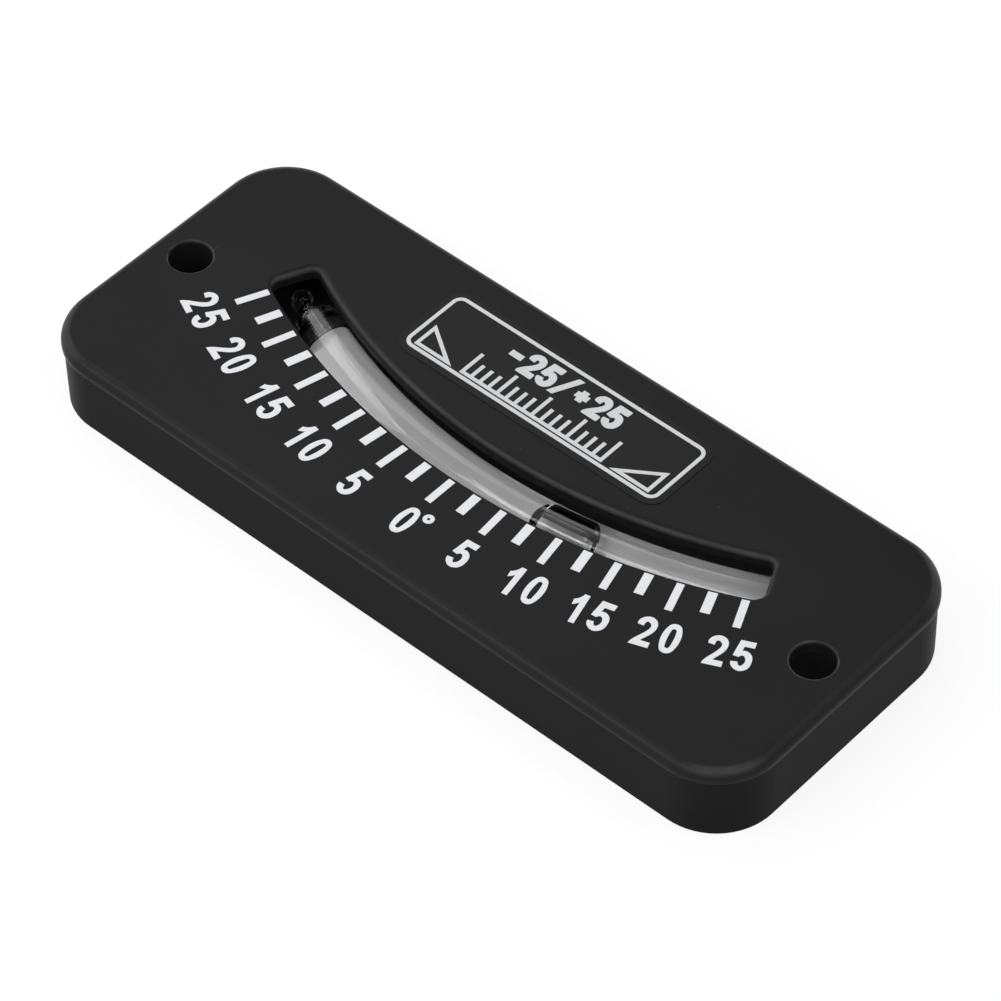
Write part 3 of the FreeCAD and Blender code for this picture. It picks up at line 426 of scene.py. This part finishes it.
def ink(name, colour, wear_colour):
    """Printed ink: near-even tone with faint mottling and pin-holes that let the ground show."""
    material, tree, shader = new_material(name)
    mottle = noise(tree, 900, 3.0)
    holes = ramp(tree, noise(tree, PIN_HOLE_CELLS, 1.0), *PIN_HOLE_SPAN)
    tone = tones(tree, spread(tree, mottle), colour, 0.95)
    tree.links.new(mixed(tree, holes, tone, wear_colour), shader.inputs["Base Color"])
    tree.links.new(spread(tree, mottle, 0.42, 0.5), shader.inputs["Roughness"])
    shader.inputs["Specular IOR Level"].default_value = 0.3
    return material


def clear_glass(name, tint, ior):
    """Smooth clear glass with faint streaks, and folds where its end was melted shut."""
    material, tree, shader = new_material(name)
    shader.inputs["Transmission Weight"].default_value = 1.0
    shader.inputs["Roughness"].default_value = 0.0
    shader.inputs["IOR"].default_value = ior
    streaks = noise(tree, STREAK_CELLS, 2.0)
    tree.links.new(tones(tree, spread(tree, streaks), tint, 0.99), shader.inputs["Base Color"])
    molten = ramp(tree, split_place(tree)[0], NECK_RIGHT, NECK_LEFT)
    folds = both(tree, noise(tree, FOLD_CELLS, 2.0), molten)
    tree.links.new(bump(tree, folds, FOLD_DEPTH), shader.inputs["Normal"])
    return material


def clear_surface(name, ior):
    """A smooth border between two clear stuffs; ior is the inner one's index over the outer one's."""
    material, tree, unused = new_material(name)
    tree.nodes.remove(unused)
    shader = node(tree, "ShaderNodeBsdfGlass", Roughness=0.0, IOR=ior)
    film = noise(tree, 700, 1.0)
    tree.links.new(tones(tree, film, grey(1.0), 0.995), shader.inputs["Color"])
    tree.links.new(shader.outputs["BSDF"], tree.nodes["Material Output"].inputs["Surface"])
    return material


def white_plastic(name):
    """Even white plastic with a faint mottling."""
    material, tree, shader = new_material(name)
    mottle = noise(tree, 400, 3.0)
    tone = mixed(tree, spread(tree, mottle), (0.92, 0.92, 0.915), (0.95, 0.95, 0.945))
    tree.links.new(tone, shader.inputs["Base Color"])
    tree.links.new(spread(tree, mottle, 0.4, 0.5), shader.inputs["Roughness"])
    shader.inputs["Specular IOR Level"].default_value = 0.4
    return material


def dark_ball(name):
    """Polished black ball with a faint mottling."""
    material, tree, shader = new_material(name)
    mottle = noise(tree, 1200, 2.0)
    tone = mixed(tree, spread(tree, mottle), (0.012, 0.012, 0.013), (0.02, 0.02, 0.021))
    tree.links.new(tone, shader.inputs["Base Color"])
    tree.links.new(spread(tree, mottle, 0.08, 0.14), shader.inputs["Roughness"])
    return material


def dress(piece, material):
    """Gives the piece this one material."""
    piece.data.materials.clear()
    piece.data.materials.append(material)


# ---------------------------------------------------------------- finishes
BLACK = (0.0115, 0.0116, 0.0118)

black_cover = moulded_plastic("satin_black_cover", BLACK, 0.33, 0.08)
black_case = moulded_plastic("matte_black_case", BLACK, 0.42, 0.02)
# Painted light: a lighter tone on the inside of the case
painted_light_inside(black_case, grey(0.05))
# Painted highlight: a thin pale ring on the rims of the holes
painted_rim_highlight(black_cover, grey(0.06))
# Painted highlight: a paler band on the round of the slot's edge
painted_lip_highlight(black_cover, grey(0.05))
# Painted highlight: a paler band on the round of the outer edge, stronger on the corners
painted_edge_highlight(black_cover, grey(0.02), grey(0.045))
film_finish = moulded_plastic("label_film_satin", (0.0119, 0.0120, 0.0122), 0.30, 0.10)
scale_ink = ink("scale_ink", (0.74, 0.75, 0.775), grey(0.3))
label_ink = ink("label_ink", (0.6, 0.61, 0.62), grey(0.2))
glass = clear_glass("clear_glass", (0.998, 1.0, 0.999), GLASS_IOR)
strip_white = white_plastic("white_strip")
glue = white_plastic("cured_adhesive")
ball_finish = dark_ball("dark_ball")
liquid_finish = clear_surface("liquid_surface", LIQUID_IOR / GLASS_IOR)
gas_finish = clear_surface("bubble_gas", 1 / LIQUID_IOR)

dress(nodes["front_cover"], black_cover)
dress(nodes["rear_case"], black_case)
dress(nodes["label_film"], film_finish)
dress(nodes["vial_adhesive"], glue)
dress(nodes["indicator_ball"], ball_finish)
for name, piece in nodes.items():
    if name.startswith(("scale_", "numeral_", "degree_")):
        dress(piece, scale_ink)
    if name in ("label_frame", "label_range", "label_ruler", "label_wedges"):
        dress(piece, label_ink)


# ---------------------------------------------------------------- vial
def glass_vial():
    """The outer skin of the glass, solid within: nib, shoulder, bent tube and round right end."""
    shoulder = at_angle(SHOULDER_ANGLE)
    right = at_angle(RIGHT_END_ANGLE)
    tip = quarter(shoulder - NIB_LENGTH + NIB_RADIUS, NIB_RADIUS, 180, 90)
    neck = straight_run(shoulder - NIB_LENGTH + NIB_RADIUS, shoulder, NIB_RADIUS, NIB_RADIUS, NECK_STEPS)
    flat_reach = TUBE_RADIUS - SHOULDER_ROUND
    flat = straight_run(shoulder, shoulder, NIB_RADIUS, flat_reach, FLAT_STEPS)
    angle = np.radians(np.linspace(180, 90, ROUND_STEPS))
    rounding = np.stack(
        [shoulder + SHOULDER_ROUND * (1 + np.cos(angle)), flat_reach + SHOULDER_ROUND * np.sin(angle)], -1
    )
    tube = straight_run(shoulder + SHOULDER_ROUND, right, TUBE_RADIUS, TUBE_RADIUS, TUBE_STEPS)
    end = quarter(right, TUBE_RADIUS, 90, 0)
    profile = np.concatenate([tip, neck[1:], flat[1:], rounding[1:], tube[1:], end[1:]])
    return turned_along_vial("glass_vial", *profile.T)


def hollow(piece, inner):
    """Turns inner's skin inside out and adds it to piece, as a closed empty space in solid glass."""
    joined = bmesh.new()
    joined.from_mesh(inner.data)
    bmesh.ops.reverse_faces(joined, faces=joined.faces)
    joined.from_mesh(piece.data)
    joined.to_mesh(piece.data)
    joined.free()
    bpy.data.meshes.remove(inner.data)


def sealed_channel():
    """What is left of the filling channel in the nib: a thin hollow, wider towards the shoulder."""
    shoulder = at_angle(SHOULDER_ANGLE)
    left, right = shoulder - CHANNEL_LEFT, shoulder - CHANNEL_RIGHT
    profile = np.concatenate(
        [
            quarter(left, CHANNEL_THIN, 180, 90, CHANNEL_END_STEPS),
            straight_run(left, right, CHANNEL_THIN, CHANNEL_WIDE, CHANNEL_STEPS)[1:-1],
            quarter(right, CHANNEL_WIDE, 90, 0, CHANNEL_END_STEPS),
        ]
    )
    return turned_along_vial("sealed_channel", *profile.T)


vial = glass_vial()
hollow(vial, sealed_channel())
dress(vial, glass)
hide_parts("vial_tube")
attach(vial, "housing")


def white_strip():
    """The strip behind the vial, which comes up higher on the side towards the arc's centre near its right
    end. Its point at station s and profile angle a is the axis point plus r times (sin a inwards - cos a
    up), with r its inner radius for a rising and its outer radius for a falling, and a from the outer
    side's angle to the inner side's angle at s. The inner side's angle goes from its low to its high value
    by 3 t squared - 2 t cubed, t being the share of the rise that s has done. A row of faces closes each
    end."""
    stations = np.linspace(at_angle(SHOULDER_ANGLE) + STRIP_INSET, at_angle(RIGHT_END_ANGLE), STRIP_STEPS)
    middle, forward = vial_axis(stations)
    inward = np.stack([-forward[:, 1], forward[:, 0], np.zeros(len(forward))], -1)
    rise_start, rise_end = at_angle(RISE_START), at_angle(RISE_END)
    rise = np.clip((stations - rise_start) / (rise_end - rise_start), 0, 1)
    inner_side = STRIP_SIDE + (STRIP_HIGH_SIDE - STRIP_SIDE) * rise * rise * (3 - 2 * rise)
    share = np.linspace(0, 1, STRIP_ACROSS)
    angle = np.radians(-STRIP_SIDE + (inner_side[:, None] + STRIP_SIDE) * share)
    around = np.concatenate([angle, angle[:, ::-1]], 1)
    radius = np.repeat([STRIP_RADIUS, STRIP_RADIUS + STRIP_THICKNESS], STRIP_ACROSS)
    upward = np.array([0.0, 0.0, 1.0])
    spokes = np.sin(around)[..., None] * inward[:, None] - np.cos(around)[..., None] * upward
    points = (middle[:, None] + radius[None, :, None] * spokes).reshape(-1, 3)
    loop = 2 * STRIP_ACROSS
    row, column = np.meshgrid(np.arange(len(stations) - 1), np.arange(loop), indexing="ij")
    here, beside = row * loop + column, row * loop + (column + 1) % loop
    sides = np.stack([here, here + loop, beside + loop, beside], -1).reshape(-1, 4)
    rung = np.arange(STRIP_ACROSS - 1)
    start = np.stack([rung, rung + 1, loop - 2 - rung, loop - 1 - rung], -1)
    end = start[:, ::-1] + (len(stations) - 1) * loop
    made = new_piece("white_strip", points, np.concatenate([sides, start, end]))
    made.data.set_sharp_from_angle(angle=math.radians(STRIP_SHARP_ANGLE))
    return made


strip = white_strip()
dress(strip, strip_white)
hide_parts("vial_backing")
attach(strip, "housing")

bore_left, bore_right = at_angle(BORE_LEFT_ANGLE), at_angle(RIGHT_END_ANGLE)
filling = capsule("vial_liquid", bore_left, bore_right, BORE_RADIUS, TUBE_STEPS)
dress(filling, liquid_finish)
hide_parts("damping_fluid")
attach(filling, "housing")

bubble_middle = at_angle(BUBBLE_ANGLE)
reach = BUBBLE_HALF_LENGTH - BUBBLE_RADIUS
bubble = capsule("gas_bubble", bubble_middle - reach, bubble_middle + reach, BUBBLE_RADIUS, BUBBLE_STEPS)
dress(bubble, gas_finish)
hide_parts("air_bubble")
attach(bubble, "bubble")


# ---------------------------------------------------------------- stage, light and camera
# The floor: half its width and its height in millimetres, its colour, the glow that gives the white
# background, the glow's share of what the rays below see, and those rays
FLOOR_REACH, FLOOR_HEIGHT, FLOOR_POINTS = 1500.0, -0.02, 24
FLOOR_TONE, FLOOR_GLOW, GLOW_SHARE = 0.9, 1.05, 0.8
WHITE_RAYS = ("Is Camera Ray", "Is Glossy Ray", "Is Transmission Ray")

# The room, by the height of the direction looked in, 0 being level and 1 straight up: over the first span
# the low wall fades out, over the second the room's grey rises to the high ring's, over the third it goes out
WALL_SPAN, WALL_LEVEL = (0.14, 0.4), 1.3
RING_SPAN, ROOM_LEVEL, RING_LEVEL = (0.72, 0.84), 0.33, 0.85
OVERHEAD_SPAN = (0.93, 0.97)

# The azimuth of the side with no wall, and the cosines of the angles from it between which the wall fades
DARK_SIDE, DARK_SPAN = 65, (0.1, 0.6)

# Lamps: name, azimuth, elevation, radiance, width and height; all at one distance, in metres
LAMPS = (
    ("front_box", -14, 45, 3.8, 0.6, 0.26),
    ("right_box", 96, 50, 2.6, 0.6, 0.31),
    ("left_box", -88, 44, 2.9, 0.4, 0.2),
    ("back_left_box", -124, 50, 1.9, 0.4, 0.22),
    ("low_box", -52, 34, 2.4, 0.5, 0.24),
)
LAMP_DISTANCE = 0.8

# The camera: its place in millimetres, its direction and roll in degrees, its lens and sensor
CAMERA_PLACE = (283.54, -302.445, 458.742)
CAMERA_AZIMUTH = 42.9772
CAMERA_ELEVATION = 47.7512
CAMERA_ROLL = -1.4193
CAMERA_LENS = 170.365
SENSOR = 36.0


def white_rays(tree):
    """1 for the rays that see the background, mirror it or pass through glass to it, 0 for the others."""
    paths = node(tree, "ShaderNodeLightPath")
    total = paths.outputs[WHITE_RAYS[0]]
    for name in WHITE_RAYS[1:]:
        total = maths(tree, "MAXIMUM", total, paths.outputs[name])
    return total


def direction(azimuth, elevation):
    """Unit vector from the housing: azimuth from its front (-Y) towards its right (+X)."""
    a, e = math.radians(azimuth), math.radians(elevation)
    return Vector((math.sin(a) * math.cos(e), -math.cos(a) * math.cos(e), math.sin(e)))


def floor():
    """A wide level plane just under the housing, a square grid of faces: white, with a glow that only the
    rays named above see, so that the housing's shadow stays on it."""
    line = np.linspace(-FLOOR_REACH, FLOOR_REACH, FLOOR_POINTS)
    x, y = np.meshgrid(line, line, indexing="ij")
    points = np.stack([x, y, np.full_like(x, FLOOR_HEIGHT)], -1).reshape(-1, 3)
    row, column = np.meshgrid(np.arange(FLOOR_POINTS - 1), np.arange(FLOOR_POINTS - 1), indexing="ij")
    here = (row * FLOOR_POINTS + column).ravel()
    quads = np.stack([here, here + FLOOR_POINTS, here + FLOOR_POINTS + 1, here + 1], -1)
    made = new_piece("floor", points, quads)
    material, tree, shader = new_material("white_floor")
    shader.inputs["Base Color"].default_value = (*grey(FLOOR_TONE), 1.0)
    shader.inputs["Roughness"].default_value = 1.0
    shader.inputs["Specular IOR Level"].default_value = 0.0
    glow = node(tree, "ShaderNodeEmission", Strength=FLOOR_GLOW)
    blend = node(tree, "ShaderNodeMixShader")
    tree.links.new(maths(tree, "MULTIPLY", white_rays(tree), GLOW_SHARE), blend.inputs["Fac"])
    tree.links.new(shader.outputs["BSDF"], blend.inputs[1])
    tree.links.new(glow.outputs["Emission"], blend.inputs[2])
    tree.links.new(blend.outputs["Shader"], tree.nodes["Material Output"].inputs["Surface"])
    dress(made, material)


def studio_world():
    """An even grey room with a brighter ring high up, dark straight overhead, and with a bright wall low
    down on all sides but one."""
    world = bpy.data.worlds.new("studio")
    bpy.context.scene.world = world
    world.use_nodes = True
    tree = world.node_tree
    split = node(tree, "ShaderNodeSeparateXYZ")
    coordinates = node(tree, "ShaderNodeTexCoord").outputs["Generated"]
    tree.links.new(coordinates, split.inputs["Vector"])
    facing = node(tree, "ShaderNodeVectorMath", operation="DOT_PRODUCT")
    tree.links.new(coordinates, facing.inputs[0])
    facing.inputs[1].default_value = direction(DARK_SIDE, 0)
    height = split.outputs["Z"]
    lit_side = ramp(tree, facing.outputs["Value"], *DARK_SPAN, 1.0, 0.0)
    wall = both(tree, ramp(tree, height, *WALL_SPAN, WALL_LEVEL, 0.0), lit_side)
    room = ramp(tree, height, *RING_SPAN, ROOM_LEVEL, RING_LEVEL)
    room = both(tree, room, ramp(tree, height, *OVERHEAD_SPAN, 1.0, 0.0))
    strength = maths(tree, "ADD", wall, room)
    background = tree.nodes["Background"]
    background.inputs["Color"].default_value = (1.0, 1.0, 1.0, 1.0)
    tree.links.new(strength, background.inputs["Strength"])


def soft_box(name, azimuth, elevation, radiance, width, height):
    """An area lamp facing the housing. radiance is how bright its face looks."""
    lamp = bpy.data.lights.new(name, "AREA")
    lamp.shape = "RECTANGLE"
    lamp.size, lamp.size_y = width, height
    lamp.energy = radiance * math.pi * width * height
    holder = bpy.data.objects.new(name, lamp)
    holder.location = direction(azimuth, elevation) * LAMP_DISTANCE
    holder.rotation_euler = direction(azimuth, elevation).to_track_quat("Z", "Y").to_euler()
    bpy.context.scene.collection.objects.link(holder)


def camera():
    """A long lens looking down at the face from the front right."""
    lens = bpy.data.cameras.new("camera")
    lens.lens = CAMERA_LENS
    lens.sensor_width = SENSOR
    lens.clip_start, lens.clip_end = 0.01, 10.0
    holder = bpy.data.objects.new("camera", lens)
    back = direction(CAMERA_AZIMUTH, CAMERA_ELEVATION)
    level = Vector((0, 0, 1)).cross(back).normalized()
    turned = Matrix((level, back.cross(level), back)).transposed().to_4x4()
    roll = Matrix.Rotation(math.radians(CAMERA_ROLL), 4, "Z")
    holder.matrix_world = Matrix.Translation(Vector(CAMERA_PLACE) * MM) @ turned @ roll
    bpy.context.scene.collection.objects.link(holder)
    bpy.context.scene.camera = holder


floor()
studio_world()
for lamp in LAMPS:
    soft_box(*lamp)
camera()
bpy.context.scene.view_settings.view_transform = "Standard"
